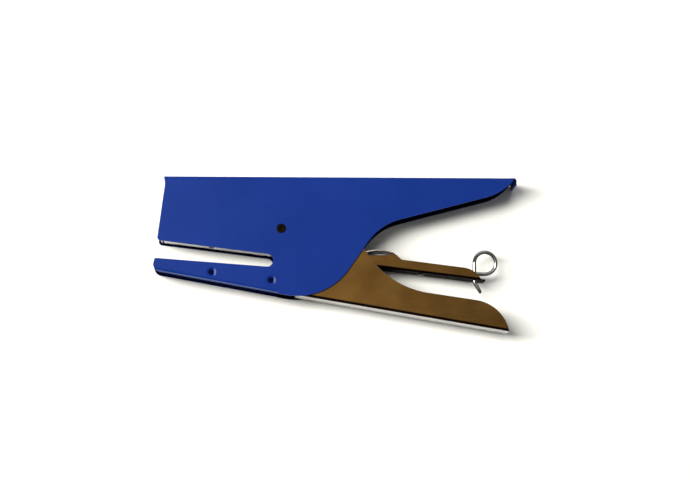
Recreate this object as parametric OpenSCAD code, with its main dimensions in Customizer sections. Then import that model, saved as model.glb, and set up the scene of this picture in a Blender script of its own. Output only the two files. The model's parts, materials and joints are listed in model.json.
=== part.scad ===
// All-steel plier stapler lying on its side.
// +X runs along the spine towards the handle's tail, +Y towards the spine, +Z up through the thickness.
// Every outline is drawn round the pivot axis, and place() moves it to the middle of the footprint.

/* [Body shell] */
// Thickness of the folded body sheet
body_sheet = 1; // [0.8:0.1:1.2]
// Outer radius of the body's folded edges
body_bend = 1.6; // [1.3:0.1:2.2]
// Pivot axis to the head's front edge, measured along the spine
head_front = 50.6; // [44:0.2:62]
// Pivot axis to the outer face of the end flap
handle_len = 103.8; // [86:0.2:126]
// Pivot axis to the top of the spine
spine_h = 23; // [21.5:0.5:28]
// How far the head's front edge flares forward where it meets the spine
head_flare = 1; // [0.4:0.1:1.4]
// Lean of the head's front edge, in degrees
head_rake = 7.7; // [5:0.1:10]
// Height of the flap folded down at the handle's tail
flap_h = 3.4; // [2.5:0.1:5]
// Radius of the rounded end of the handle
tail_r = 21.6; // [16:0.2:24]
// Pivot axis to the grip corner, along the spine
grip_x = 43.3; // [38:0.2:52]
// Height of the grip corner above the pivot axis
grip_y = 1.9; // [0:0.1:4]
// Radius inside the grip corner
grip_r = 25; // [18:0.5:28]
// Slope of the body's steep rear edge, in degrees
rear_angle = 55.3; // [50:0.5:60]
// Radius of the heel under the pivot
heel_r = 27.5; // [20:0.5:29]

// Gap between each side plate and the lever
body_gap = 0.25; // [0.2:0.05:0.5]

/* [Jaw and throat] */
// Pivot axis to the tip of the jaw
jaw_len = 56.6; // [52:0.2:60]
// Height of the jaw's underside below the pivot axis
jaw_drop = 28.85; // [27:0.25:32]
// Slope of the jaw's underside, in degrees
jaw_angle = 10.3; // [9:0.1:11]
// Radius under the tip of the jaw
jaw_tip_r = 3.2; // [2.5:0.1:3.6]
// Height of the jaw's top edge below the pivot axis
throat_drop = 17.3; // [16.8:0.1:18.5]
// Slope of the jaw's top edge, in degrees
throat_angle = 4.27; // [3:0.1:5]
// Pivot axis to the closed end of the throat
throat_end = 3.6; // [3:0.1:6]
// Pivot axis to the rear end of the jaw's folded underside
jaw_web_end = 1.5; // [0.5:0.1:2.5]
// How far the head's lower edge hangs below the magazine
head_lip = 0.8; // [0.4:0.1:1]

/* [Anvil] */
// Thickness of the anvil plate
anvil_t = 1.2; // [1:0.1:1.5]
// Length of the anvil plate
anvil_len = 17; // [14:0.5:20]
// Sheet thickness of the carrier inside the jaw
carrier_sheet = 1; // [0.8:0.1:1.2]
// Depth of the two clinching grooves
groove_d = 0.6; // [0.4:0.1:0.8]

/* [Pivot] */
// Diameter of the pivot pin
pivot_d = 4.1; // [3.6:0.1:5]
// Running clearance round pins, on the radius
run_gap = 0.05; // [0.02:0.01:0.08]

/* [Magazine] */
// Slope of the magazine at rest, in degrees
mag_tilt = 7.05; // [6.5:0.05:7.5]
// Pivot axis to the outer face of the magazine's web
mag_drop = 11.15; // [11:0.05:11.6]
// Gap between each of the magazine's walls and the staples
staple_gap = 0.1; // [0.08:0.02:0.2]
// Sheet thickness of the magazine
mag_sheet = 0.7; // [0.55:0.05:0.85]
// Pivot axis to the front of the nose
nose_len = 52; // [49:0.2:53]
// Pivot axis to the rear end of the magazine's walls
mag_tail = 90.2; // [84:0.2:94]
// Height of the magazine's tail walls
tail_wall_h = 4.5; // [4.2:0.1:5.2]
// How far the tongue runs on behind the walls
tongue_len = 1.9; // [1.5:0.1:4]

/* [Staples] */
// Width of a staple
staple_w = 12.7; // [10:0.1:16]
// Height of a staple
staple_h = 4.2; // [4:0.1:4.6]
// Thickness of the staple wire
staple_wire = 0.5; // [0.45:0.05:0.6]
// Number of staples in the strip
staple_count = 50; // [20:1:60]

/* [Lever] */
// Gap between each of the lever's walls and the magazine
lever_gap = 0.2; // [0.1:0.05:0.3]
// Sheet thickness of the lever
lever_sheet = 0.9; // [0.75:0.05:1.1]
// Pivot axis to the rear end of the lever
lever_len = 100.1; // [84:0.2:120]
// Height of the lever's underside below the pivot axis
lever_drop = 27.97; // [27:0.25:31]
// Slope of the lever's underside, in degrees
lever_angle = 9.56; // [8:0.1:11]
// Height of the lever's walls at the grip
lever_wall = 10.5; // [9:0.25:12]
// Height of the lever's walls at its rear end
lever_tail_wall = 11.6; // [10:0.2:13]
// Radius of the lever's rounded rear end
lever_end_r = 17.3; // [12:0.5:18]

/* [Follower rod] */
// Diameter of the rod's wire
rod_d = 1.75; // [1.5:0.05:1.8]
// Mean radius of the pull ring
ring_r = 4.85; // [4.2:0.1:6]
// Diameter of the pusher spring's wire
coil_wire = 0.5; // [0.4:0.05:0.5]
// Number of turns in the pusher spring
coil_turns = 40; // [30:1:50]

/* [Hidden] */
$fn = 48;
arc_steps = 12;      // straight steps in each rounded corner
far = 200;           // longer than any part, for cuts that run right through
touch = 0.02;        // gap between pieces of one body that lie face to face
side_gap = 0.15;     // sliding gap beside pieces that move in the magazine

blue = [0.13, 0.23, 0.54];
bronze = [0.42, 0.30, 0.15];
nickel = [0.80, 0.80, 0.82];
dark_steel = [0.35, 0.34, 0.33];

// ---- geometry helpers ----
function unit(v) = v / norm(v);
function line_y(x, y0, angle) = y0 + x * tan(angle);
// Where the line through p at angle a meets the line through q at angle b
function meet(p, a, q, b) =
    let (d = [cos(a), sin(a)], e = [cos(b), sin(b)], w = q - p)
    p + d * (w[0] * e[1] - w[1] * e[0]) / (d[0] * e[1] - d[1] * e[0]);
// Points of an arc that rounds corner b, between its neighbours a and c, to radius b[2]
function corner_arc(a, b, c) =
    let (p = [b[0], b[1]], u = unit([a[0], a[1]] - p), v = unit([c[0], c[1]] - p), r = b[2],
         half = acos(u * v) / 2, mid = p + unit(u + v) * r / sin(half),
         s = p + u * r / tan(half) - mid, turn = u[0] * v[1] - u[1] * v[0] > 0 ? -1 : 1,
         start = atan2(s[1], s[0]), sweep = turn * (180 - 2 * half))
    [for (k = [0:arc_steps]) let (at = start + sweep * k / arc_steps) mid + r * [cos(at), sin(at)]];
// Closed outline whose corners are [x, y, radius]
function rounded(c) = [for (i = [0:len(c) - 1])
    each c[i][2] == 0 ? [[c[i][0], c[i][1]]]
                      : corner_arc(c[(i + len(c) - 1) % len(c)], c[i], c[(i + 1) % len(c)])];

// Round tube of radius r that follows a path; ref is a direction the path never runs along
module sweep(path, r, sides, ref) {
    n = len(path);
    rings = [for (i = [0:n - 1])
        let (t = unit(path[min(i + 1, n - 1)] - path[max(i - 1, 0)]), a = unit(cross(t, ref)),
             b = cross(a, t))
        for (k = [0:sides - 1]) path[i] + r * (a * cos(360 * k / sides) + b * sin(360 * k / sides))];
    skin = [for (i = [0:n - 2], k = [0:sides - 1])
        let (p = i * sides + k, q = i * sides + (k + 1) % sides)
        each [[p, p + sides, q], [q, p + sides, q + sides]]];
    caps = [[for (k = [0:sides - 1]) k], [for (k = [sides - 1:-1:0]) (n - 1) * sides + k]];
    polyhedron(rings, concat(caps, skin));
}

// Profile drawn in Y and Z, run along X from x0 to x1
module along_x(x0, x1) {
    translate([x0, 0, 0]) rotate([90, 0, 90]) linear_extrude(x1 - x0) children();
}
// Outline raised from z0 to z1
module slab(z0, z1) {
    translate([0, 0, z0]) linear_extrude(z1 - z0) children();
}
// Round bar along Z through p
module bar(p, r, z0, z1) {
    translate([p[0], p[1], z0]) cylinder(r = r, h = z1 - z0);
}

// ---- widths, one inside the other ----
mag_w = staple_w + 2 * (mag_sheet + staple_gap);
lever_w = mag_w + 2 * (lever_sheet + lever_gap);
body_w = lever_w + 2 * (body_sheet + body_gap);

// ---- places worked out from the sizes above ----
mid_z = body_w / 2;
plate_end = handle_len - 0.8;                       // rear end of the side plates
tail_corner = [plate_end - 4.55, spine_h - 6.57];
heel = meet([grip_x, grip_y], rear_angle, [0, -jaw_drop], -jaw_angle);
jaw_tip_low = [-jaw_len, line_y(jaw_len, -jaw_drop, jaw_angle)];
jaw_tip_top = [-jaw_len + 1.2, line_y(jaw_len - 1.2, -throat_drop, throat_angle)];
head_low_y0 = -(mag_drop + head_lip) / cos(mag_tilt);   // head's lower edge, under the pivot axis
head_corner = meet([-head_front, spine_h], 90 - head_rake, [0, head_low_y0], -mag_tilt);
flare_base = [-head_front - 3.4 * tan(head_rake), spine_h - 3.4];
throat_top = line_y(throat_end, head_low_y0, mag_tilt);
throat_low = line_y(throat_end, -throat_drop, throat_angle);
throat_r = (throat_top - throat_low) / 2 * 0.94;

body_outline = rounded([
    [-head_front - head_flare, spine_h, 0.3], [plate_end, spine_h, 0],
    [tail_corner[0], tail_corner[1], tail_r], [grip_x, grip_y, grip_r],
    [heel[0], heel[1], heel_r], [jaw_tip_low[0], jaw_tip_low[1], jaw_tip_r],
    [jaw_tip_top[0], jaw_tip_top[1], 0.8], [-throat_end, throat_low, throat_r],
    [-throat_end, throat_top, throat_r], [head_corner[0], head_corner[1], 1.5],
    [flare_base[0], flare_base[1], 6]]);

lever_z = (body_w - lever_w) / 2;                   // outer face of the lever's lower wall
lever_tail_x = lever_len - 2.65;
lever_end_y = line_y(-lever_len, -lever_drop, lever_angle);

// The footprint's middle comes to the origin
min_x = min([for (p = body_outline) p[0]]);
centre = [(min_x + handle_len) / 2, (spine_h + lever_end_y) / 2];
module place() { translate([-centre[0], -centre[1], 0]) children(); }

// Magazine frame: X along its web, Y across the web, round the pivot axis
module in_magazine() { place() rotate([0, 0, -mag_tilt]) children(); }
function from_magazine(p) = [p[0] * cos(mag_tilt) + p[1] * sin(mag_tilt),
                             p[1] * cos(mag_tilt) - p[0] * sin(mag_tilt)];
function to_magazine(p) = [p[0] * cos(mag_tilt) - p[1] * sin(mag_tilt),
                           p[1] * cos(mag_tilt) + p[0] * sin(mag_tilt)];

mag_z = (body_w - mag_w) / 2;                       // outer face of the magazine's lower wall
web_low = -mag_drop;
web_top = web_low + mag_sheet;
tail_top = web_low + tail_wall_h;
leg_end = web_top + 0.15;                           // staples clear the web by this much
crown_top = leg_end + staple_h;
crown_low = crown_top - staple_wire;
blade_t = 0.5;
blade_x = -nose_len + mag_sheet + 0.1;              // front face of the driver blade
blade_tip = crown_top + 0.25;
strip_x = blade_x + blade_t + 0.1;                  // front of the staple strip
strip_end = strip_x + staple_count * staple_wire;
slide_w = mag_w - 2 * mag_sheet - 2 * side_gap;     // width of the blade, its block and the pusher
rail_w = staple_w - 2 * staple_wire - 0.2;
rail_sheet = 0.6;
rail_top = crown_low - 0.05;
rail_x = [strip_x + 0.7, 68];
rail_rivet_x = [-29.7, 63.5];
spacer_at = [-14, -1.8];
driver_pin_at = [-nose_len + 4.4, 7];
driver_pin_r = 1.25;
driver_stroke = 5.35;
spring_pin_at = [-14, 7];
cross_pin_r = 1.2;
rod_y = web_low + 3.15;                             // height of the rod's axis
rod_front = -44;
rod_rear = 87.6;
ring_at = to_magazine([90.3, -14]);
leg_shift = rod_d + 0.15;                           // the leg passes beside the rod

// ---- body ----
dimples = [[-30.5, -19.3], [-4.4, -22.8]];
dimple_r = 2.1;
dimple_d = 0.8;
dimple_ball = (dimple_r * dimple_r + dimple_d * dimple_d) / (2 * dimple_d);

// U-shaped section of the folded spine, set in by s from the outside
module spine_section(s) {
    r = body_bend - s;
    polygon(rounded([
        [-far, s, 0], [spine_h - s, s, r], [spine_h - s, body_w - s, r], [-far, body_w - s, 0]]));
}
// Waste outside a fold of the body, drawn in Y and Z
module bend_waste() {
    r = body_bend;
    polygon(concat([[-1, -1], [r, -1]],
        [for (k = [0:arc_steps]) let (a = 90 * k / arc_steps) [r - r * sin(a), r - r * cos(a)]], [[-1, r]]));
}
module on_jaw_line() { translate([0, -jaw_drop, 0]) rotate([0, 0, -jaw_angle]) children(); }
// Inside of the body: open at the nose and the heel, closed under the jaw and round its tip
module hollow() {
    mid_right = (throat_top + throat_low) / 2;
    mid_slope = (mag_tilt + throat_angle) / 2;
    front_lean = atan2(jaw_tip_top[1] - jaw_tip_low[1], jaw_tip_top[0] - jaw_tip_low[0]);
    inset_front = jaw_tip_low + body_sheet * [sin(front_lean), -cos(front_lean)];
    inset_low = [0, -jaw_drop + body_sheet / cos(jaw_angle)];
    low = meet(inset_front, front_lean, inset_low, -jaw_angle);
    high = meet(inset_front, front_lean, [-throat_end, mid_right], -mid_slope);
    polygon(rounded([
        [-far, far, 0], [-far, line_y(far, mid_right, mid_slope), 0], [high[0], high[1], 0],
        [low[0], low[1], jaw_tip_r - body_sheet],
        [-jaw_web_end, line_y(jaw_web_end, inset_low[1], jaw_angle), 0],
        [-jaw_web_end, -far, 0], [far, -far, 0], [far, far, 0]]));
}
// Folded sheet before its holes and dimples
module folded_sheet() {
    difference() {
        intersection() {
            slab(0, body_w) polygon(body_outline);
            along_x(-far, far) spine_section(0);
        }
        intersection() {
            slab(-1, body_w + 1) hollow();
            along_x(-far, far) spine_section(body_sheet);
        }
        on_jaw_line() {
            along_x(-far, -jaw_web_end) bend_waste();
            translate([0, 0, body_w]) mirror([0, 0, 1]) along_x(-far, -jaw_web_end) bend_waste();
        }
    }
}
module body_shell() {
    color(blue) place() difference() {
        union() {
            folded_sheet();
            for (d = dimples, side = [0, 1]) dimple_back(d, side);
            end_flap();
        }
        for (d = dimples, side = [0, 1]) dimple(d, side, dimple_ball);
        bar([0, 0], pivot_d / 2 + run_gap, -1, body_w + 1);
        rotate([-90, 0, 0]) translate([leaf_rivet_x, -mid_z, spine_h - 2]) cylinder(r = 1.5 + touch, h = 4);
    }
}
// Ball that presses a dimple into one side plate
module dimple(d, side, r) {
    z = side == 0 ? dimple_d - dimple_ball : body_w - dimple_d + dimple_ball;
    translate([d[0], d[1], z]) sphere(r = r);
}
// Bump that the dimple raises inside the plate
module dimple_back(d, side) {
    z = side == 0 ? body_sheet / 2 : body_w - body_sheet / 2 - 2;
    intersection() {
        dimple(d, side, dimple_ball + body_sheet);
        translate([d[0] - 4, d[1] - 4, z]) cube([8, 8, 2]);
    }
}
module end_flap() {
    inner = spine_h - body_sheet;
    slab(body_bend * 0.75, body_w - body_bend * 0.75) polygon(rounded([
        [plate_end - 2, inner, 0], [handle_len - body_sheet, inner, 0.2],
        [handle_len - body_sheet, spine_h - flap_h, 0.3], [handle_len, spine_h - flap_h, 0.3],
        [handle_len, spine_h, 1.2], [plate_end - 2, spine_h, 0]]));
}

// ---- jaw ----
module on_throat_line() { translate([0, -throat_drop, 0]) rotate([0, 0, -throat_angle]) children(); }
anvil_gap = 0.15;                                   // the anvil lies this far under the jaw's edges
anvil_x = -jaw_len + 2.6;
anvil_bed = anvil_gap + anvil_t;
anvil_rivet_x = [anvil_x + 9.5, anvil_x + 14.5];
groove_x = blade_x + 0.7;
groove_half = 3;
groove_z = staple_w / 2 + 0.25 - groove_half;         // each staple leg lands in its groove's outer end
groove_ball = (groove_half * groove_half + groove_d * groove_d) / (2 * groove_d);

module anvil_plate() {
    color(nickel) place() on_throat_line() difference() {
        translate([anvil_x, -anvil_bed, body_sheet + 0.1])
            cube([anvil_len, anvil_t, body_w - 2 * body_sheet - 0.2]);
        for (side = [-1, 1])
            translate([groove_x - 1.1, groove_ball - groove_d - anvil_gap, mid_z + side * groove_z])
                rotate([0, 90, 0]) cylinder(r = groove_ball, h = 2.2);
        anvil_rivet_bars(1 + touch);
    }
}
module anvil_rivet_bars(r) {
    for (x = anvil_rivet_x, side = [-1, 1])
        translate([x, -anvil_bed - carrier_sheet, mid_z + side * 4.5]) rotate([-90, 0, 0])
            cylinder(r = r, h = anvil_t + carrier_sheet);
}
module anvil_rivets() {
    color(dark_steel) place() on_throat_line() {
        anvil_rivet_bars(1);
        for (x = anvil_rivet_x, side = [-1, 1])
            translate([x, -anvil_bed - carrier_sheet, mid_z + side * 4.5]) rotate([90, 0, 0])
                cylinder(r1 = 1.7, r2 = 1.2, h = 0.6);
    }
}
// Channel inside the jaw, open downwards
module anvil_carrier() {
    z0 = body_sheet + touch;
    front = anvil_x + 1.2;
    rear = -1;
    color(dark_steel) place() difference() {
        intersection() {
            slab(z0, body_w - z0) union() {
                translate([0, -throat_drop]) rotate(-throat_angle)
                    translate([front, -far]) square([rear - front, far - anvil_bed]);
            }
            on_jaw_line() translate([-far, body_sheet + 0.9, 0]) cube([2 * far, far, body_w]);
        }
        on_throat_line() translate([-far, -far - anvil_bed - carrier_sheet, z0 + carrier_sheet])
            cube([2 * far, far, body_w - 2 * (z0 + carrier_sheet)]);
        for (d = dimples) bar(d, 2.7, -1, body_w + 1);
        on_throat_line() anvil_rivet_bars(1 + touch);
    }
}

// ---- pivot ----
module pivot_pin() {
    recess = 0.5;
    cup = 1;
    color(bronze) place() difference() {
        bar([0, 0], pivot_d / 2, recess, body_w - recess);
        for (z = [recess, body_w - recess]) bar([0, 0], pivot_d * 0.22, z - cup, z + cup);
    }
}

// ---- leaf spring under the spine ----
leaf_t = 0.4;
leaf_w = mag_w - 0.7;
leaf_rivet_x = 26;
// Arch at the free end: it spans the raised magazine walls
arch_x0 = 35.5;
arch_x1 = 50.4;
arch_low = from_magazine([51, web_low + 6.35])[1] + leaf_t;
arch_rise = 1.6;
arch_r = (pow((arch_x1 - arch_x0) / 2, 2) + arch_rise * arch_rise) / (2 * arch_rise);
arch_half = asin((arch_x1 - arch_x0) / 2 / arch_r);
arch_mid = [(arch_x0 + arch_x1) / 2, arch_low + arch_rise - arch_r];
leaf_fold_r = 5.5;
leaf_fold = [16, spine_h - body_sheet - touch - leaf_t / 2 - leaf_fold_r];
module leaf_spring() {
    top = spine_h - body_sheet - touch;
    color(nickel) place() difference() {
        slab(mid_z - leaf_w / 2, mid_z + leaf_w / 2) polygon(leaf_strip());
        rotate([-90, 0, 0]) translate([leaf_rivet_x, -mid_z, top - 2]) cylinder(r = 1.5 + touch, h = 4);
    }
}
// Centre line of the leaf: along the spine, round the front fold, down and over the arch
leaf_line = concat(
    [[leaf_rivet_x + 5, leaf_fold[1] + leaf_fold_r]],
    [for (k = [0:15]) let (a = 90 + k * 9.6) leaf_fold + leaf_fold_r * [cos(a), sin(a)]],
    [for (k = [0:14]) let (a = 90 + arch_half - k * arch_half / 7) arch_mid + arch_r * [cos(a), sin(a)]]);
function leaf_normal(i) =
    let (n = len(leaf_line), t = unit(leaf_line[min(i + 1, n - 1)] - leaf_line[max(i - 1, 0)])) [-t[1], t[0]];
function leaf_strip() = concat(
    [for (i = [0:len(leaf_line) - 1]) leaf_line[i] + leaf_normal(i) * leaf_t / 2],
    [for (i = [len(leaf_line) - 1:-1:0]) leaf_line[i] - leaf_normal(i) * leaf_t / 2]);
module leaf_rivet() {
    low = spine_h - body_sheet - touch - leaf_t - touch;
    color(dark_steel) place() translate([leaf_rivet_x, low, mid_z]) rotate([-90, 0, 0]) {
        cylinder(r = 1.5, h = spine_h - low - touch);
        translate([0, 0, -0.8]) cylinder(r1 = 2, r2 = 2.6, h = 0.8);
    }
}

// ---- magazine ----
front_wall_top = driver_pin_at[1] - driver_stroke - driver_pin_r - 0.4;
wall_outline = rounded([
    [-nose_len + mag_sheet, web_low, 0], [-nose_len + mag_sheet, front_wall_top, 0.8],
    [-nose_len + 8.9, front_wall_top, 2],
    [-nose_len + 12.4, -4.2, 2], [-22, -4.2, 3], [-17, 2.2, 2.5], [-5, 4.6, 3], [5, 4.6, 3.5],
    [14, tail_top - 0.1, 5], [40, tail_top - 0.1, 30], [51.6, tail_top + 1.85, 0.8],
    [54.1, tail_top, 1.4], [mag_tail - 3.7, tail_top, 10], [mag_tail, web_low, 0]]);
tongue_w = 10;
mag_bend = 1.1;

module magazine_channel() {
    r_in = mag_bend - mag_sheet;
    color(bronze) in_magazine() difference() {
        union() {
            intersection() {
                slab(mag_z, body_w - mag_z) polygon(wall_outline);
                along_x(-far, far) polygon(rounded([
                    [web_low, mag_z, mag_bend], [far, mag_z, 0],
                    [far, body_w - mag_z, 0], [web_low, body_w - mag_z, mag_bend]]));
            }
            tongue();
        }
        along_x(-far, mag_tail + 0.01) polygon(rounded([
            [web_top, mag_z + mag_sheet, r_in], [far, mag_z + mag_sheet, 0],
            [far, body_w - mag_z - mag_sheet, 0], [web_top, body_w - mag_z - mag_sheet, r_in]]));
        translate([-far, -far, mag_z + mag_sheet])
            cube([far + strip_x + 0.05, 2 * far, mag_w - 2 * mag_sheet]);
        bar([0, 0], pivot_d / 2 + run_gap, -1, body_w + 1);
        bar(spacer_at, cross_pin_r + touch, -1, body_w + 1);
        for (x = rail_rivet_x) rail_rivet_bar(x, 1.2 + touch);
        nose_rivet_bars(0.9 + touch);
        translate([86.3, web_low - 1, mid_z + leg_shift - rod_d / 2 - side_gap])
            cube([far, 4, rod_d + 2 * side_gap]);
    }
}
// Tongue behind the walls, with rounded corners
module tongue() {
    end = mag_tail + tongue_len;
    z0 = mid_z - tongue_w / 2;
    intersection() {
        translate([mag_tail - 3, web_low, z0]) cube([end - mag_tail + 3, mag_sheet, tongue_w]);
        translate([0, far / 2, 0]) rotate([90, 0, 0]) linear_extrude(far) polygon(rounded([
            [mag_tail - 4, z0, 0], [end, z0, 1.5],
            [end, z0 + tongue_w, 1.5], [mag_tail - 4, z0 + tongue_w, 0]]));
    }
}
nose_tab = [-9.2, -3.2];                            // lower and upper edge of the nose plate's tabs
nose_tab_end = -nose_len + 7;
nose_rivet_at = [-nose_len + 4.4, (nose_tab[0] + nose_tab[1]) / 2];
module nose_rivet_bars(r) {
    bar(nose_rivet_at, r, mag_z - mag_sheet - 0.1, mag_z + mag_sheet);
    bar(nose_rivet_at, r, body_w - mag_z - mag_sheet, body_w - mag_z + mag_sheet + 0.1);
}
module nose_plate() {
    z0 = mag_z - mag_sheet;
    color(nickel) in_magazine() difference() {
        union() {
            slab(z0, body_w - z0) polygon(rounded([
                [-nose_len, web_low, 0.3], [-nose_len + mag_sheet - touch, web_low, 0],
                [-nose_len + mag_sheet - touch, 2, 0], [-nose_len, 2, 0.3]]));
            for (z = [z0, body_w - mag_z + touch]) slab(z, z + mag_sheet - touch)
                polygon(rounded([[-nose_len + 0.4, nose_tab[0], 0], [nose_tab_end, nose_tab[0], 1],
                                 [nose_tab_end, nose_tab[1], 1], [-nose_len + 0.4, nose_tab[1], 0]]));
        }
        nose_rivet_bars(0.9 + touch);
    }
}
module nose_rivets() {
    z0 = mag_z - mag_sheet - touch;
    color(dark_steel) in_magazine() {
        bar(nose_rivet_at, 0.9, z0, mag_z + mag_sheet - touch);
        translate([nose_rivet_at[0], nose_rivet_at[1], z0 - 0.4]) cylinder(r1 = 1.1, r2 = 1.5, h = 0.4);
        bar(nose_rivet_at, 0.9, body_w - mag_z - mag_sheet + touch, body_w - z0);
        translate([nose_rivet_at[0], nose_rivet_at[1], body_w - z0]) cylinder(r1 = 1.5, r2 = 1.1, h = 0.4);
    }
}
module rail_rivet_bar(x, r) {
    translate([x, web_low - 0.05, mid_z]) rotate([-90, 0, 0])
        cylinder(r = r, h = mag_sheet + rail_sheet + 0.1);
}
// U-shaped rail that the staples straddle
module staple_rail() {
    base = web_top + touch;
    half = rail_w / 2;
    color(nickel) in_magazine() difference() {
        along_x(rail_x[0], rail_x[1]) polygon(rounded([
            [base, mid_z - half, 0.8], [rail_top, mid_z - half, 0],
            [rail_top, mid_z - half + rail_sheet, 0],
            [base + rail_sheet, mid_z - half + rail_sheet, 0.3],
            [base + rail_sheet, mid_z + half - rail_sheet, 0.3],
            [rail_top, mid_z + half - rail_sheet, 0], [rail_top, mid_z + half, 0],
            [base, mid_z + half, 0.8]]));
        for (x = rail_rivet_x) translate([x, web_top - 1, mid_z]) rotate([-90, 0, 0])
            cylinder(r = 1.2 + touch, h = 2);
    }
}
module rail_rivets() {
    top = web_top + touch + rail_sheet;
    color(nickel) in_magazine() for (x = rail_rivet_x) translate([x, 0, mid_z]) rotate([-90, 0, 0]) {
        translate([0, 0, web_low - touch]) cylinder(r = 1.2, h = top - web_low + 2 * touch);
        translate([0, 0, web_low - touch - 0.5]) cylinder(r1 = 0.9, r2 = 1.5, h = 0.5);
        translate([0, 0, top + touch]) cylinder(r = 1.8, h = 0.2);
    }
}
// Section of a staple, drawn in Y and Z and set in by s
module staple_section(s) {
    half = staple_w / 2 - s;
    leg = staple_wire - 2 * s;
    polygon([[leg_end + s, mid_z - half], [crown_top - s, mid_z - half], [crown_top - s, mid_z + half],
             [leg_end + s, mid_z + half], [leg_end + s, mid_z + half - leg],
             [crown_low + s, mid_z + half - leg], [crown_low + s, mid_z - half + leg],
             [leg_end + s, mid_z - half + leg]]);
}
module staple_strip() {
    color(nickel) in_magazine() {
        along_x(strip_x + 0.05, strip_end - 0.05) staple_section(0.04);
        for (i = [0:staple_count - 1]) let (x = strip_x + i * staple_wire)
            along_x(x + 0.03, x + staple_wire - 0.03) staple_section(0);
    }
}
sleeve_wall = 0.55;
module pivot_sleeve() {
    color(dark_steel) in_magazine() difference() {
        bar([0, 0], pivot_d / 2 + sleeve_wall, mag_z + mag_sheet + touch, body_w - mag_z - mag_sheet - touch);
        bar([0, 0], pivot_d / 2 + run_gap, 0, body_w);
    }
}
module magazine_spacer() {
    color(dark_steel) in_magazine() {
        bar(spacer_at, cross_pin_r, mag_z + 0.05, body_w - mag_z - 0.05);
        bar(spacer_at, cross_pin_r + 0.5, mag_z + mag_sheet + touch, body_w - mag_z - mag_sheet - touch);
    }
}
// Coil round the pivot sleeve, with one arm under the lever's pin and one on the spacer
torsion_wire = 0.9;
torsion_r = pivot_d / 2 + sleeve_wall + torsion_wire / 2 + 0.35;
module torsion_spring() {
    turns = 5;
    pitch = torsion_wire + 0.25;
    z0 = mid_z - turns * pitch / 2;
    z1 = mid_z + (turns + 0.5) * pitch / 2;
    end_x = spring_pin_at[0] - 1.8;
    high = spring_pin_at[1] - cross_pin_r - torsion_wire / 2 - 0.05;
    low = spacer_at[1] + cross_pin_r + 0.5 + torsion_wire / 2 + 0.05;
    per_turn = 20;
    coil = [for (k = [0:turns * per_turn + per_turn / 2]) let (a = 90 + 360 * k / per_turn)
        [torsion_r * cos(a), torsion_r * sin(a), z0 + pitch * k / per_turn]];
    color(nickel) in_magazine() sweep(concat(
        [[end_x, high, z0], [end_x / 2, (high + torsion_r) / 2, z0]], coil,
        [[end_x / 4, -torsion_r + 0.6, z1], [spacer_at[0] + 2.5, low, z1], [end_x, low, z1]]),
        torsion_wire / 2, 8, [0, 0, 1]);
}

// ---- lever ----
arm_front = -nose_len + 1.6;                        // front edge of the lever's arms
lever_outline = rounded([
    concat(from_magazine([arm_front, 3]), [1]), [arm_front + 2.2, spine_h - body_sheet - 1.4, 2],
    [0, 11, 12], [30.9, 0.6, 8],
    [46.5, line_y(-46.5, -lever_drop, lever_angle) + lever_wall, 39],
    [lever_tail_x, line_y(-lever_tail_x, -lever_drop, lever_angle) + lever_tail_wall, lever_end_r],
    [lever_len, lever_end_y, 0], [6.4, line_y(-6.4, -lever_drop, lever_angle), 0],
    [3.5, -throat_drop, 5], [-6.5, -3.5, 4]]);
lever_bend = 1.4;
module on_lever_line() { translate([0, -lever_drop, 0]) rotate([0, 0, -lever_angle]) children(); }
module lever_section(s) {
    z0 = lever_z + s;
    r = lever_bend - s;
    polygon(rounded([[s, z0, r], [far, z0, 0], [far, body_w - z0, 0], [s, body_w - z0, r]]));
}
module lever() {
    color(bronze) place() difference() {
        intersection() {
            slab(lever_z, body_w - lever_z) polygon(lever_outline);
            on_lever_line() along_x(-far, far) lever_section(0);
        }
        on_lever_line() along_x(-far, far) lever_section(lever_sheet);
        bar([0, 0], pivot_d / 2 + run_gap, 0, body_w);
        bar(from_magazine(driver_pin_at), driver_pin_r + touch, 0, body_w);
        bar(from_magazine(spring_pin_at), cross_pin_r + touch, 0, body_w);
    }
}
module driver_pin() {
    color(dark_steel) in_magazine() bar(driver_pin_at, driver_pin_r, lever_z + 0.05, body_w - lever_z - 0.05);
}
module spring_pin() {
    color(dark_steel) in_magazine() bar(spring_pin_at, cross_pin_r, lever_z + 0.05, body_w - lever_z - 0.05);
}

// ---- driver ----
block_x = blade_x + blade_t + touch;
block_low = 3.6;
block_top = 11;
pin_drift = 0.5;                                    // how far the lever's pin slides in the block's slot
driver_rivet_z = [mid_z - 3.5, mid_z + 3.5];
driver_rivet_y = 9.4;
module driver_rivet_bars(r) {
    for (z = driver_rivet_z) translate([blade_x - 0.02, driver_rivet_y, z]) rotate([0, 90, 0])
        cylinder(r = r, h = 6.5);
}
module driver_blade() {
    color(nickel) in_magazine() difference() {
        translate([blade_x, blade_tip, mid_z - slide_w / 2]) cube([blade_t, 10.6 - blade_tip, slide_w]);
        driver_rivet_bars(0.8 + touch);
    }
}
module driver_block() {
    depth = 6.2;
    color(dark_steel) in_magazine() difference() {
        slab(mid_z - slide_w / 2, mid_z + slide_w / 2) polygon(rounded([
            [block_x, block_low, 0.4], [block_x + depth, block_low, 0.8],
            [block_x + depth, block_top, 1.5], [block_x, block_top, 0.4]]));
        for (dx = [0, -pin_drift]) bar(driver_pin_at + [dx, 0], driver_pin_r + 0.1, 0, body_w);
        translate([driver_pin_at[0] - pin_drift, driver_pin_at[1] - driver_pin_r - 0.1, 0])
            cube([pin_drift, 2 * driver_pin_r + 0.2, body_w]);
        driver_rivet_bars(0.8 + touch);
    }
}
module driver_rivets() {
    color(nickel) in_magazine() {
        driver_rivet_bars(0.8);
        for (z = driver_rivet_z) translate([blade_x - 0.42, driver_rivet_y, z]) rotate([0, 90, 0])
            cylinder(r1 = 1, r2 = 1.4, h = 0.4);
    }
}

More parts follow.
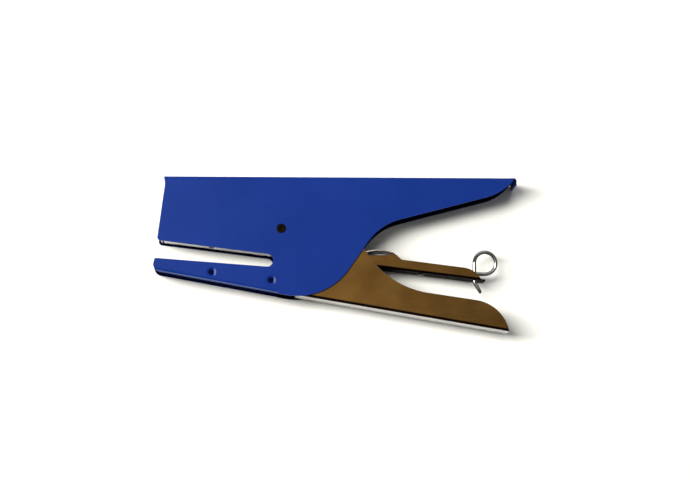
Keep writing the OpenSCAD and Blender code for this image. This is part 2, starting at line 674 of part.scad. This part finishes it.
// ---- follower rod, with its pull ring and latch leg ----
entry = [rod_rear, rod_y] - ring_at;
ring_start = atan2(entry[1], entry[0]) + acos(ring_r / norm(entry));
ring_end = 180 + mag_tilt;
ring_steps = 36;
leg_dir = to_magazine([0, -1]);
leg_out = to_magazine([cos(56), -sin(56)]);
leg_top = ring_at + ring_r * [cos(ring_end), sin(ring_end)];
leg_knee = leg_top + leg_dir * 9;
function lift(p, z) = [p[0], p[1], z];
rod_path = concat(
    [[rod_front, rod_y, mid_z], [rod_rear - 2, rod_y, mid_z], [rod_rear, rod_y, mid_z]],
    [for (k = [0:ring_steps]) let (a = ring_start + (ring_end - ring_start) * k / ring_steps)
        lift(ring_at + ring_r * [cos(a), sin(a)], mid_z + leg_shift * pow(k / ring_steps, 2))],
    [lift(leg_top + leg_dir * 3, mid_z + leg_shift), lift(leg_knee - leg_dir * 0.8, mid_z + leg_shift),
     lift(leg_knee + (leg_out - leg_dir) * 0.2, mid_z + leg_shift),
     lift(leg_knee + leg_out * 0.8, mid_z + leg_shift), lift(leg_knee + leg_out * 5.4, mid_z + leg_shift)]);
module follower_rod() {
    color(nickel) in_magazine() sweep(rod_path, rod_d / 2, 12, [0, 0, 1]);
}
// Ring-shaped piece round the rod
module collar(x, len, r) {
    translate([x, rod_y, mid_z]) rotate([0, 90, 0]) difference() {
        cylinder(r = r, h = len);
        translate([0, 0, -1]) cylinder(r = rod_d / 2 + touch, h = len + 2);
    }
}
module rod_stop() { color(nickel) in_magazine() collar(rod_front + 0.2, 1, 1.25); }
seat_x = 72;
module spring_seat() { color(nickel) in_magazine() collar(seat_x, 1.2, 2); }

// ---- pusher ----
pusher_len = 11;
pusher_front = strip_end + 0.05;
tab_len = 2;
coil_r = rod_d / 2 + coil_wire / 2 + 0.15;
// Saddle over the rail, with a tab at its rear that reaches down between the rail's walls to the rod
module pusher() {
    wall = (slide_w - rail_w) / 2 - 0.1;
    low = web_top + 0.25;
    top = crown_top + 0.35;
    deck = rail_top + 0.1;
    tab_x = pusher_front + pusher_len - tab_len;
    tab_half = rail_w / 2 - rail_sheet - side_gap;
    rail_slot = slide_w / 2 - wall - tab_half + 0.3;
    color(dark_steel) in_magazine() difference() {
        translate([pusher_front, low, mid_z - slide_w / 2]) cube([pusher_len, top - low, slide_w]);
        translate([pusher_front - 1, low - 1, mid_z - slide_w / 2 + wall])
            cube([pusher_len - tab_len + 1, deck - low + 1, slide_w - 2 * wall]);
        for (z = [mid_z - slide_w / 2 + wall, mid_z + tab_half - 0.3]) translate([tab_x - 1, low - 1, z])
            cube([tab_len + 2, deck - low + 1, rail_slot]);
        translate([tab_x - 1, low - 1, mid_z - tab_half])
            cube([tab_len + 2, rod_y - 1.4 - low + 1, 2 * tab_half]);
        translate([tab_x - 1, rod_y, mid_z]) rotate([0, 90, 0])
            cylinder(r = rod_d / 2 + run_gap, h = tab_len + 2);
    }
}
module pusher_spring() {
    x0 = pusher_front + pusher_len + coil_wire / 2 + 0.05;
    x1 = seat_x - coil_wire / 2 - 0.05;
    per_turn = 12;
    steps = coil_turns * per_turn;
    color(nickel) in_magazine() sweep([for (k = [0:steps]) let (a = 360 * k / per_turn)
        [x0 + (x1 - x0) * k / steps, rod_y + coil_r * cos(a), mid_z + coil_r * sin(a)]],
        coil_wire / 2, 6, [1, 0, 0]);
}

body_shell();
anvil_carrier();
anvil_plate();
anvil_rivets();
pivot_pin();
leaf_spring();
leaf_rivet();
magazine_channel();
nose_plate();
nose_rivets();
staple_rail();
rail_rivets();
staple_strip();
pivot_sleeve();
magazine_spacer();
torsion_spring();
lever();
driver_pin();
spring_pin();
driver_blade();
driver_block();
driver_rivets();
follower_rod();
rod_stop();
spring_seat();
pusher();
pusher_spring();
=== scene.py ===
import json
import math
import bpy
from mathutils import Matrix, Vector


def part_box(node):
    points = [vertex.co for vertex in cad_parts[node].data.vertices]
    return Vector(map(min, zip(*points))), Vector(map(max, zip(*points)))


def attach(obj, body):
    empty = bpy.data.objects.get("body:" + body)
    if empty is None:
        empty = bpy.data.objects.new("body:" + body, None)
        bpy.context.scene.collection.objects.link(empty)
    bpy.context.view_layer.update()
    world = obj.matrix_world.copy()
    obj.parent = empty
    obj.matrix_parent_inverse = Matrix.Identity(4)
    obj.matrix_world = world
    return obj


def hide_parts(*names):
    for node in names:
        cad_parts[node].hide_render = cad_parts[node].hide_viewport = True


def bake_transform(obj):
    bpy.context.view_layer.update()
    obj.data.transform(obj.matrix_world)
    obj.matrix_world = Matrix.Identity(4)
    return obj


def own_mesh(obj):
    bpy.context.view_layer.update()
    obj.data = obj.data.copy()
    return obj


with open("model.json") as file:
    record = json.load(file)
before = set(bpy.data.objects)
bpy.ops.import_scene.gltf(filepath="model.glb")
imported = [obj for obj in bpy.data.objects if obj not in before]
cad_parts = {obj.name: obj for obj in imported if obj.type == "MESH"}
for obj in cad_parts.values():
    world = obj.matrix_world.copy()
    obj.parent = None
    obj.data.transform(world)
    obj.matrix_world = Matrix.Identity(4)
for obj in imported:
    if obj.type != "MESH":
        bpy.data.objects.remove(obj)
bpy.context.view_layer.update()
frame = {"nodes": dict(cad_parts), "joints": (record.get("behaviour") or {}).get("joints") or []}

nodes = frame["nodes"]
joints = {joint["name"]: joint for joint in frame["joints"]}
bodyLow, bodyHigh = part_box("body_shell")
bodyWidth = bodyHigh.z - bodyLow.z
pivot = Vector(joints["magazine_close"]["pos_m"])
webDirection = Vector(joints["rod_pull"]["axis"])
print("stage: frame loaded,", len(nodes), "nodes")


# ---------- camera ----------
cameraLook = {
    "distance": 1.05,        # metres from the upper side plate
    "fieldWidth": 0.3026,    # width of the view at that plate
    "tilt": 6.9,             # degrees towards the lever side
    "swing": 2.2,            # degrees towards the jaw
    "aimX": 0.0040,
    "aimY": 0.0057,
}


def placeCamera(look):
    tilt = math.radians(look["tilt"])
    swing = math.radians(look["swing"])
    back = Vector((-math.sin(swing), -math.sin(tilt), 1.0))
    back.z = math.sqrt(1.0 - back.x ** 2 - back.y ** 2)
    aim = Vector((look["aimX"], look["aimY"], bodyWidth))
    bpy.ops.object.camera_add(location=aim + back * look["distance"])
    camera = bpy.context.object
    camera.name = "camera"
    up = (Vector((0, 1, 0)) - back * back.y).normalized()
    right = up.cross(back)
    camera.rotation_euler = Matrix((right, up, back)).transposed().to_euler()
    camera.data.lens = camera.data.sensor_width * look["distance"] / look["fieldWidth"]
    camera.data.clip_start = 0.05
    camera.data.clip_end = 20
    bpy.context.scene.camera = camera


placeCamera(cameraLook)


# ---------- materials ----------
def newMaterial(name):
    material = bpy.data.materials.new(name)
    material.use_nodes = True
    tree = material.node_tree
    shader = tree.nodes["Principled BSDF"]
    coords = tree.nodes.new("ShaderNodeTexCoord")
    return material, tree, shader, coords


def noiseFrom(tree, coords, scale, detail=4.0, stretch=(1, 1, 1), turn=0.0):
    mapping = tree.nodes.new("ShaderNodeMapping")
    mapping.inputs["Scale"].default_value = stretch
    mapping.inputs["Rotation"].default_value = (0, 0, turn)
    noise = tree.nodes.new("ShaderNodeTexNoise")
    noise.inputs["Scale"].default_value = scale
    noise.inputs["Detail"].default_value = detail
    tree.links.new(coords.outputs["Object"], mapping.inputs["Vector"])
    tree.links.new(mapping.outputs["Vector"], noise.inputs["Vector"])
    return noise.outputs["Fac"]


def ramp(tree, source, stops):
    node = tree.nodes.new("ShaderNodeValToRGB")
    band = node.color_ramp
    while len(band.elements) < len(stops):
        band.elements.new(0.5)
    for element, (place, colour) in zip(band.elements, stops):
        element.position = place
        element.color = (*colour, 1.0)
    tree.links.new(source, node.inputs["Fac"])
    return node.outputs["Color"]


def grey(level):
    return (level, level, level)


def bumpFrom(tree, source, strength, distance):
    bump = tree.nodes.new("ShaderNodeBump")
    bump.inputs["Strength"].default_value = strength
    bump.inputs["Distance"].default_value = distance
    tree.links.new(source, bump.inputs["Height"])
    return bump.outputs["Normal"]


enamelLooks = {
    "blueEnamel": {"deep": (0.0058, 0.0235, 0.160), "light": (0.0068, 0.0260, 0.174), "gloss": (0.27, 0.30),
                   "peel": 0.03, "sheen": 0.025, "coat": 0.0},
    # a lighter, glossier blue: painted highlight on edges that face the key light and on the jaw's lower
    # bend
    "paintedHighlightEnamel": {"deep": (0.050, 0.085, 0.240), "light": (0.090, 0.130, 0.300), "gloss": (0.27, 0.35),
                   "peel": 0.03, "sheen": 0.40, "coat": 0.0},
    # a near-black blue: painted shade for the faces inside the body and under the jaw
    "paintedShadeEnamel": {"deep": (0.0012, 0.0024, 0.020), "light": (0.0016, 0.0034, 0.027),
                     "gloss": (0.55, 0.65), "peel": 0.03, "sheen": 0.0, "coat": 0.0},
}


def enamel(name, look):
    material, tree, shader, coords = newMaterial(name)
    cloud = noiseFrom(tree, coords, 45)
    colour = ramp(tree, cloud, [(0.35, look["deep"]), (0.65, look["light"])])
    tree.links.new(colour, shader.inputs["Base Color"])
    smear = noiseFrom(tree, coords, 90, 3)
    tree.links.new(ramp(tree, smear, [(0.3, grey(look["gloss"][0])), (0.7, grey(look["gloss"][1]))]),
                   shader.inputs["Roughness"])
    peel = noiseFrom(tree, coords, 1100, 2)
    tree.links.new(bumpFrom(tree, peel, look["peel"], 0.0001), shader.inputs["Normal"])
    shader.inputs["Specular IOR Level"].default_value = look["sheen"]
    shader.inputs["Coat Weight"].default_value = look["coat"]
    shader.inputs["Coat Roughness"].default_value = 0.12
    return material


metalLooks = {
    "bronzeNickel": {"dark": (0.060, 0.030, 0.0070), "light": (0.094, 0.049, 0.0125), "rough": (0.32, 0.42),
                     "grain": (1, 14, 14), "bump": 0.05},
    "brightNickel": {"dark": (0.50, 0.47, 0.46), "light": (0.62, 0.59, 0.58), "rough": (0.18, 0.30),
                     "grain": (1, 12, 12), "bump": 0.05},
    # the tray's web: a lighter nickel as painted reflection, turned to a dark painted shade behind the
    # pivot
    "trayNickelPaintedLight": {"dark": (0.82, 0.81, 0.80), "light": (0.92, 0.91, 0.90), "rough": (0.22, 0.34),
                   "grain": (1, 12, 12), "bump": 0.05, "paintedTailShade": (0.022, 0.010, 0.008)},
    # near-black: painted shade on the bends between the walls and the web
    "paintedShadeBend": {"dark": (0.004, 0.001, 0.001), "light": (0.010, 0.004, 0.003), "rough": (0.40, 0.55),
                  "grain": (1, 12, 12), "bump": 0.05},
    "darkSteel": {"dark": (0.12, 0.11, 0.10), "light": (0.20, 0.19, 0.18), "rough": (0.35, 0.55),
                  "grain": (2, 5, 5), "bump": 0.08},
    # the pin's brown finish, darkened to near-black as painted shade of its recessed end
    "brownedPinPaintedShade": {"dark": (0.0016, 0.0010, 0.0006), "light": (0.0060, 0.0036, 0.0016),
                   "rough": (0.35, 0.55), "grain": (3, 3, 3), "bump": 0.10},
    "springSteel": {"dark": (0.50, 0.46, 0.40), "light": (0.66, 0.62, 0.55), "rough": (0.22, 0.36),
                    "grain": (1, 10, 10), "bump": 0.05},
    "stapleWire": {"dark": (0.50, 0.50, 0.52), "light": (0.68, 0.68, 0.70), "rough": (0.25, 0.40),
                   "grain": (8, 2, 2), "bump": 0.05},
    "ringWire": {"dark": (0.22, 0.21, 0.20), "light": (0.34, 0.33, 0.32), "rough": (0.16, 0.26),
                 "grain": (3, 3, 3), "bump": 0.04},
}
webTurn = math.atan2(webDirection.y, webDirection.x)


paintedShadeReach = 0.02    # metres behind the pivot over which the web darkens


def paintTailShade(tree, coords, colour, paintedTailShade):
    # painted reflection in front of the pivot and painted shade behind it: bright in front, dark behind
    split = tree.nodes.new("ShaderNodeSeparateXYZ")
    tree.links.new(coords.outputs["Object"], split.inputs["Vector"])
    reach = tree.nodes.new("ShaderNodeMapRange")
    reach.inputs["From Min"].default_value = pivot.x
    reach.inputs["From Max"].default_value = pivot.x + paintedShadeReach
    tree.links.new(split.outputs["X"], reach.inputs["Value"])
    blend = tree.nodes.new("ShaderNodeMix")
    blend.data_type = "RGBA"
    # sockets 6 and 7 are the two colours and output 2 the mixed one
    tree.links.new(reach.outputs["Result"], blend.inputs[0])
    tree.links.new(colour, blend.inputs[6])
    blend.inputs[7].default_value = (*paintedTailShade, 1.0)
    return blend.outputs[2]


def metal(name, look):
    material, tree, shader, coords = newMaterial(name)
    shader.inputs["Metallic"].default_value = 1.0
    patch = noiseFrom(tree, coords, 70, 5)
    colour = ramp(tree, patch, [(0.30, look["dark"]), (0.70, look["light"])])
    # the web's painted shade behind the pivot, also set as its specular tint
    if "paintedTailShade" in look:
        colour = paintTailShade(tree, coords, colour, look["paintedTailShade"])
        tree.links.new(colour, shader.inputs["Specular Tint"])
    tree.links.new(colour, shader.inputs["Base Color"])
    grain = noiseFrom(tree, coords, 120, 3, look["grain"], -webTurn)
    low, high = look["rough"]
    tree.links.new(ramp(tree, grain, [(0.3, grey(low)), (0.7, grey(high))]), shader.inputs["Roughness"])
    tree.links.new(bumpFrom(tree, grain, look["bump"], 0.0001), shader.inputs["Normal"])
    return material


finishes = {name: metal(name, look) for name, look in metalLooks.items()}
finishes.update({name: enamel(name, look) for name, look in enamelLooks.items()})

nodeFinishes = {
    "blueEnamel": ["body_shell"],
    "bronzeNickel": ["lever", "magazine_channel"],
    "brightNickel": ["anvil_plate", "nose_plate", "staple_rail", "rail_rivets", "driver_rivets"],
    "darkSteel": ["anvil_carrier", "anvil_rivets", "leaf_rivet", "nose_rivets", "pivot_sleeve",
                  "magazine_spacer", "driver_pin", "spring_pin", "driver_block", "pusher"],
    # the pin's near-black finish is partly painted shade of its recess
    "brownedPinPaintedShade": ["pivot_pin"],
    "springSteel": ["leaf_spring", "torsion_spring", "driver_blade", "pusher_spring"],
    "stapleWire": ["staple_strip"],
    "ringWire": ["follower_rod", "rod_stop", "spring_seat"],
}
for finish, names in nodeFinishes.items():
    for name in names:
        nodes[name].data.materials.clear()
        nodes[name].data.materials.append(finishes[finish])
print("stage: finishes made,", len(finishes))


# ---------- soft-edged copies of the folded sheets ----------
def clearSelection():
    if bpy.context.object and bpy.context.object.mode != "OBJECT":
        bpy.ops.object.mode_set(mode="OBJECT")
    bpy.ops.object.select_all(action="DESELECT")


def makeActive(piece):
    clearSelection()
    piece.select_set(True)
    bpy.context.view_layer.objects.active = piece


copyLook = {
    "merge": 2e-6,         # metres
    "flatWithin": 0.4,     # degrees between faces that join into one
    "sharpAbove": 35,      # degrees, edges that are rounded
    "smoothBelow": 32,     # degrees, edges that shade smooth
    "edgeSegments": 2,
    "flatWeight": 80,
}


def mergedCopy(nodeName, pieceName):
    piece = bpy.data.objects.new(pieceName, nodes[nodeName].data.copy())
    bpy.context.scene.collection.objects.link(piece)
    makeActive(piece)
    bpy.ops.object.mode_set(mode="EDIT")
    bpy.ops.mesh.select_all(action="SELECT")
    bpy.ops.mesh.remove_doubles(threshold=copyLook["merge"])
    return piece


def softCopy(nodeName, pieceName, edge):
    piece = mergedCopy(nodeName, pieceName)
    bpy.ops.mesh.dissolve_limited(angle_limit=math.radians(copyLook["flatWithin"]))
    bpy.ops.object.mode_set(mode="OBJECT")
    bevel = piece.modifiers.new("softEdges", "BEVEL")
    bevel.width = edge
    bevel.segments = copyLook["edgeSegments"]
    bevel.limit_method = "ANGLE"
    bevel.angle_limit = math.radians(copyLook["sharpAbove"])
    bevel.use_clamp_overlap = True
    bevel.miter_outer = "MITER_ARC"
    bpy.ops.object.modifier_apply(modifier=bevel.name)
    bpy.ops.object.shade_smooth_by_angle(angle=math.radians(copyLook["smoothBelow"]))
    flat = piece.modifiers.new("flatFaces", "WEIGHTED_NORMAL")
    flat.keep_sharp = True
    flat.weight = copyLook["flatWeight"]
    bpy.ops.object.modifier_apply(modifier=flat.name)
    return piece


# piece: node, body, edge rounding in millimetres, slot
softLooks = {
    "bodyCover": ("body_shell", "body", 0.30, "blue_paint"),
    "jawCarrier": ("anvil_carrier", "body", 0.15, "dark_steel"),
    "anvilPad": ("anvil_plate", "body", 0.15, "nickel"),
    "anvilStuds": ("anvil_rivets", "body", 0.12, "dark_steel"),
    "hingePin": ("pivot_pin", "body", 0.20, "pin_steel"),
    "leafStud": ("leaf_rivet", "body", 0.12, "dark_steel"),
    "magazineTray": ("magazine_channel", "magazine", 0.12, "bronze_nickel"),
    "noseWall": ("nose_plate", "magazine", 0.15, "nickel"),
    "noseStuds": ("nose_rivets", "magazine", 0.12, "dark_steel"),
    "stapleGuide": ("staple_rail", "magazine", 0.10, "nickel"),
    "guideStuds": ("rail_rivets", "magazine", 0.15, "nickel"),
    "hingeSleeve": ("pivot_sleeve", "magazine", 0.08, "dark_steel"),
    "wallSpacer": ("magazine_spacer", "magazine", 0.12, "dark_steel"),
    "squeezeLever": ("lever", "lever", 0.16, "bronze_nickel"),
    "driverCrossPin": ("driver_pin", "lever", 0.12, "dark_steel"),
    "springCrossPin": ("spring_pin", "lever", 0.12, "dark_steel"),
    "driverSlab": ("driver_block", "driver", 0.15, "dark_steel"),
    "driverStuds": ("driver_rivets", "driver", 0.10, "nickel"),
    "rodStopCollar": ("rod_stop", "rod", 0.10, "ring_wire"),
    "springSeatCollar": ("spring_seat", "rod", 0.10, "ring_wire"),
    "staplePusher": ("pusher", "pusher", 0.12, "dark_steel"),
}
softPieces = {}
for pieceName, (nodeName, body, edge, slot) in softLooks.items():
    piece = softCopy(nodeName, pieceName, edge / 1000)
    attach(piece, body)
    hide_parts(nodeName)
    softPieces[pieceName] = piece


def paintFaces(piece, finishNames, choose):
    piece.data.materials.clear()
    for name in finishNames:
        piece.data.materials.append(finishes[name])
    for polygon in piece.data.polygons:
        polygon.material_index = choose(polygon)


faceLook = {
    "skin": 0.0005,        # metres, faces deeper than this are inside
    "bendDepth": 0.0022,   # metres, how deep the jaw's bend reaches
    "level": 0.90,         # normal's z from which a face counts as level
    "turned": -0.35,       # normal's x or y at which a face counts as turned
    "frontHighlight": (0.45, 0.92),
    "jawHighlight": (0.55, 0.80),
    "wallLevel": 0.97,
    "bendLevel": 0.15,
    "bendTurned": 0.2,
}


def between(value, limits):
    return limits[0] < value < limits[1]


def coverPart(polygon):
    normal = polygon.normal
    level = abs(normal.z)
    depth = bodyWidth / 2 - abs(polygon.center.z - bodyWidth / 2)
    # faces inside the body, between the side plates, get painted shade
    if depth > faceLook["skin"] and level > faceLook["level"]:
        return 1
    # the jaw's underside beyond its bend gets painted shade as well
    underJaw = normal.y < faceLook["turned"] and polygon.center.x < pivot.x
    if underJaw and depth > faceLook["bendDepth"]:
        return 1
    # edges that face the jaw's tip, towards the key light, and the jaw's lower bend get a painted highlight
    # in a lighter blue
    if normal.x < faceLook["turned"] and between(level, faceLook["frontHighlight"]):
        return 2
    return 2 if underJaw and between(level, faceLook["jawHighlight"]) else 0


webFacing = Vector((webDirection.y, -webDirection.x, 0))


def sheetPart(polygon):
    # walls face up and down, the bend to the web gets a near-black painted shade, the web and the cut edges
    # are bright (on the tray a painted reflection)
    level = abs(polygon.normal.z)
    if level > faceLook["wallLevel"]:
        return 0
    if level > faceLook["bendLevel"] and polygon.normal.dot(webFacing) > faceLook["bendTurned"]:
        return 2
    return 1


# the cover takes the blue enamel, its painted shade copy and its painted highlight copy
paintFaces(softPieces["bodyCover"], ("blueEnamel", "paintedShadeEnamel", "paintedHighlightEnamel"), coverPart)
# on the lever and the tray the bends get painted shade
paintFaces(softPieces["squeezeLever"], ("bronzeNickel", "brightNickel", "paintedShadeBend"), sheetPart)
# the tray's web carries painted reflection in front of the pivot and painted shade behind it
paintFaces(softPieces["magazineTray"], ("bronzeNickel", "trayNickelPaintedLight", "paintedShadeBend"), sheetPart)
print("stage: soft-edged pieces made,", len(softPieces))


# ---------- springs and wire ----------
def roundCopy(nodeName, pieceName, rounds):
    piece = mergedCopy(nodeName, pieceName)
    bpy.ops.mesh.tris_convert_to_quads()
    bpy.ops.object.mode_set(mode="OBJECT")
    rounder = piece.modifiers.new("roundWire", "SUBSURF")
    rounder.levels = rounds
    bpy.ops.object.modifier_apply(modifier=rounder.name)
    bpy.ops.object.shade_smooth()
    return piece


# piece: node, slot, subdivision rounds
wireLooks = {
    "pullWire": ("follower_rod", "ring_wire", 1),
    "returnCoil": ("torsion_spring", "spring_steel", 1),
    "feedCoil": ("pusher_spring", "spring_steel", 1),
}
wires = {}
for pieceName, (nodeName, slot, rounds) in wireLooks.items():
    piece = roundCopy(nodeName, pieceName, rounds)
    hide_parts(nodeName)
    wires[pieceName] = piece
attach(wires["pullWire"], "rod")


# distances in metres: from the leaf's middle height, and above the pivot for the crossing coil
springLook = {
    "leafEdge": 0.0001,
    "leafBehindPivot": 0.030,
    "leafStart": 0.0105,
    "leafEnd": 0.0085,
    "coilStart": 0.0025,
    "coilEnd": 0.0053,
}


def archSpring(look):
    piece = softCopy("leaf_spring", "archSpring", look["leafEdge"])
    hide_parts("leaf_spring")
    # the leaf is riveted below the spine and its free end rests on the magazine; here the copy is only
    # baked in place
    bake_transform(piece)


def crossSpring():
    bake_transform(wires["returnCoil"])


def feedSpring():
    piece = wires["feedCoil"]
    points = [vertex.co for vertex in piece.data.vertices]
    centre = Vector((0, 0, 0))
    for point in points:
        centre += point
    centre /= len(points)
    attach(piece, "rod")
    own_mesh(piece)


archSpring(springLook)
crossSpring()
feedSpring()
print("stage: springs and wire made")


# ---------- floor and light ----------
def layFloor():
    bpy.ops.mesh.primitive_plane_add(size=6, location=(0, 0, -0.0002))
    floor = bpy.context.object
    floor.name = "floor"
    material, tree, shader, coords = newMaterial("palePaper")
    fibre = noiseFrom(tree, coords, 600, 3)
    tree.links.new(ramp(tree, fibre, [(0.3, (0.85, 0.84, 0.78)), (0.7, (0.87, 0.86, 0.80))]),
                   shader.inputs["Base Color"])
    shader.inputs["Roughness"].default_value = 0.9
    floor.data.materials.append(material)


layFloor()

lightLooks = {
    "keySoftbox": {"place": (-0.62, 0.17, 1.13), "long": 0.95, "wide": 0.30, "watts": 27,
                   "colour": (1.0, 0.99, 0.97)},
    "rimSoftbox": {"place": (0.05, 0.95, 0.72), "long": 0.90, "wide": 0.30, "watts": 3.6,
                   "colour": (0.96, 0.98, 1.0)},
}


def hangLight(name, look):
    place = Vector(look["place"])
    bpy.ops.object.light_add(type="AREA", location=place)
    light = bpy.context.object
    light.name = name
    light.data.shape = "RECTANGLE"
    light.data.size = look["long"]
    light.data.size_y = look["wide"]
    light.data.energy = look["watts"]
    light.data.color = look["colour"]
    back = place.normalized()
    side = Vector((1, 0, 0)) - back * back.x
    side.normalize()
    light.rotation_euler = Matrix((side, back.cross(side), back)).transposed().to_euler()


for name, look in lightLooks.items():
    hangLight(name, look)

roomLook = {"zenith": (0.46, 0.47, 0.50), "wall": (0.030, 0.031, 0.034), "capStarts": 0.80, "capFull": 0.95}


def lightRoom(look):
    world = bpy.data.worlds.new("room")
    world.use_nodes = True
    tree = world.node_tree
    coords = tree.nodes.new("ShaderNodeTexCoord")
    split = tree.nodes.new("ShaderNodeSeparateXYZ")
    tree.links.new(coords.outputs["Generated"], split.inputs["Vector"])
    stops = [(look["capStarts"], look["wall"]), (look["capFull"], look["zenith"])]
    sky = ramp(tree, split.outputs["Z"], stops)
    tree.links.new(sky, tree.nodes["Background"].inputs["Color"])
    bpy.context.scene.world = world


lightRoom(roomLook)
bpy.context.scene.view_settings.view_transform = "Standard"
print("stage: floor and lights placed")
